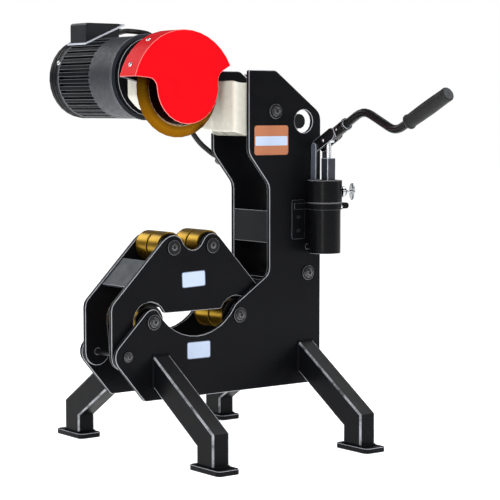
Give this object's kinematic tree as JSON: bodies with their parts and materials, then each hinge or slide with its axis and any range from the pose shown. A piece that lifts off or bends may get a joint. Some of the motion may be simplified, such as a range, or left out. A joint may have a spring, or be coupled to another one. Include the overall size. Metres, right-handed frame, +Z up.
{
  "type": "hydraulic pipe cutting machine",
  "caption": "Pipe cutting machine with a motor-driven cutter wheel on a swinging arm, which a hydraulic hand pump lowers onto a pipe that turns on rollers.",
  "frame": {"origin": "middle of the whole machine's outline seen from above, on the floor under its four foot plates", "axes": "+Z up, +X along the side plates from the pipe throat towards the hand pump, -Y towards the side that carries the hand pump, +Y towards the motor's fan"},
  "size_m": [0.61, 0.9138, 0.952],
  "materials": {
    "frame_black": "satin powder coat",
    "brace_grey": "satin paint",
    "guard_red": "gloss powder coat",
    "arm_cream": "semi-gloss enamel",
    "motor_grey": "satin painted casting",
    "fan_cover_grey": "satin painted sheet",
    "roller_gold": "gold zinc plating",
    "wheel_bronze": "ground tool steel with a bronze coating",
    "bright_steel": "polished",
    "black_steel": "black oxide",
    "black_plastic": "moulded",
    "grip_rubber": "matt",
    "cable_rubber": "matt"
  },
  "bodies": {
    "frame": {"side_plate_near": "frame_black", "side_plate_far": "frame_black", "column_brace": "brace_grey", "base_brace": "frame_black", "cradle_rest_bar": "black_steel", "leg_near_front": "frame_black", "leg_near_rear": "frame_black", "leg_far_front": "frame_black", "leg_far_rear": "frame_black", "foot_near_front": "frame_black", "foot_near_rear": "frame_black", "foot_far_front": "frame_black", "foot_far_rear": "frame_black", "cradle_hinge_shaft": "black_steel", "arm_pivot_shaft": "black_steel", "cylinder_pin": "black_steel", "roller_shaft_front": "black_steel", "roller_shaft_rear": "black_steel", "frame_gland": "black_plastic", "hydraulic_cylinder": "frame_black", "pressure_pipe": "bright_steel", "pump_tank": "frame_black", "pump_head": "frame_black", "pump_barrel": "black_steel", "pump_clamp": "frame_black", "fulcrum_link": "black_steel", "release_valve": "bright_steel"},
    "arm": {"arm_casting": "arm_cream", "tail_pin": "black_steel", "wheel_guard": "guard_red", "guard_bracket": "frame_black", "motor_adapter": "frame_black", "motor_end_shield": "motor_grey", "motor_stator": "motor_grey", "fan_cover": "fan_cover_grey", "terminal_box": "black_plastic", "terminal_lid": "black_plastic", "motor_gland": "black_plastic", "motor_cable": "cable_rubber"},
    "cutter": {"cutter_wheel": "wheel_bronze", "spindle": "bright_steel", "wheel_flange": "black_steel", "spindle_nut": "bright_steel"},
    "rotor": {"motor_shaft": "bright_steel", "cooling_fan": "black_plastic"},
    "ram": {"ram": "bright_steel"},
    "cradle": {"cradle_plate_near": "frame_black", "cradle_plate_far": "frame_black", "cradle_cross_plate": "brace_grey", "cradle_shaft_front": "black_steel", "cradle_shaft_rear": "black_steel"},
    "lower_front_roller": {"roller_lower_front": "roller_gold"},
    "lower_rear_roller": {"roller_lower_rear": "roller_gold"},
    "upper_front_roller": {"roller_upper_front": "roller_gold"},
    "upper_rear_roller": {"roller_upper_rear": "roller_gold"},
    "handle": {"handle_socket": "frame_black", "handle_tube": "frame_black", "handle_grip": "grip_rubber"},
    "plunger": {"pump_plunger": "bright_steel"},
    "knob": {"release_knob": "bright_steel"}
  },
  "joints": [
    {"name": "arm_swing", "type": "hinge", "parent": "frame", "child": "arm", "pos_m": [0.12527, 0.06194, 0.7483], "axis": [0, -1, 0], "range_deg": [0, 46], "deforming": ["motor_cable"]},
    {"name": "wheel_spin", "type": "hinge", "parent": "arm", "child": "cutter", "pos_m": [-0.09153, 0.06194, 0.8], "axis": [0, 1, 0], "continuous": true},
    {"name": "motor_spin", "type": "hinge", "parent": "arm", "child": "rotor", "pos_m": [-0.09803, 0.06194, 0.825], "axis": [0, 1, 0], "continuous": true},
    {"name": "ram_lift", "type": "slide", "parent": "frame", "child": "ram", "axis": [-0.039, 0, 0.9992], "range_m": [0, 0.066]},
    {"name": "cradle_fold", "type": "hinge", "parent": "frame", "child": "cradle", "pos_m": [-0.27403, 0.06194, 0.2265], "axis": [0, -1, 0], "range_deg": [0, 120]},
    {"name": "lower_front_roll", "type": "hinge", "parent": "frame", "child": "lower_front_roller", "pos_m": [-0.20713, 0.06194, 0.2965], "axis": [0, 1, 0], "continuous": true},
    {"name": "lower_rear_roll", "type": "hinge", "parent": "frame", "child": "lower_rear_roller", "pos_m": [0.02407, 0.06194, 0.2965], "axis": [0, 1, 0], "continuous": true},
    {"name": "upper_front_roll", "type": "hinge", "parent": "cradle", "child": "upper_front_roller", "pos_m": [-0.14368, 0.06194, 0.4537], "axis": [0, 1, 0], "continuous": true},
    {"name": "upper_rear_roll", "type": "hinge", "parent": "cradle", "child": "upper_rear_roller", "pos_m": [-0.03938, 0.06194, 0.4537], "axis": [0, 1, 0], "continuous": true},
    {"name": "pump_handle", "type": "hinge", "parent": "frame", "child": "handle", "pos_m": [0.23697, -0.03106, 0.6695], "axis": [1, 0, 0], "range_deg": [-10, 35]},
    {"name": "pump_stroke", "type": "slide", "parent": "frame", "child": "plunger", "axis": [0, 0, 1], "range_m": [-0.0215, 0.006]},
    {"name": "release_turn", "type": "hinge", "parent": "frame", "child": "knob", "pos_m": [0.23697, -0.05006, 0.566], "axis": [0.8988, -0.4384, 0], "range_deg": [0, 180]}
  ],
  "couplings": [
    {"joint": "ram_lift", "follows": "arm_swing", "m_per_rad": 0.0815},
    {"joint": "motor_spin", "follows": "wheel_spin", "ratio": 24},
    {"joint": "pump_stroke", "follows": "pump_handle", "m_per_rad": -0.0331}
  ]
}
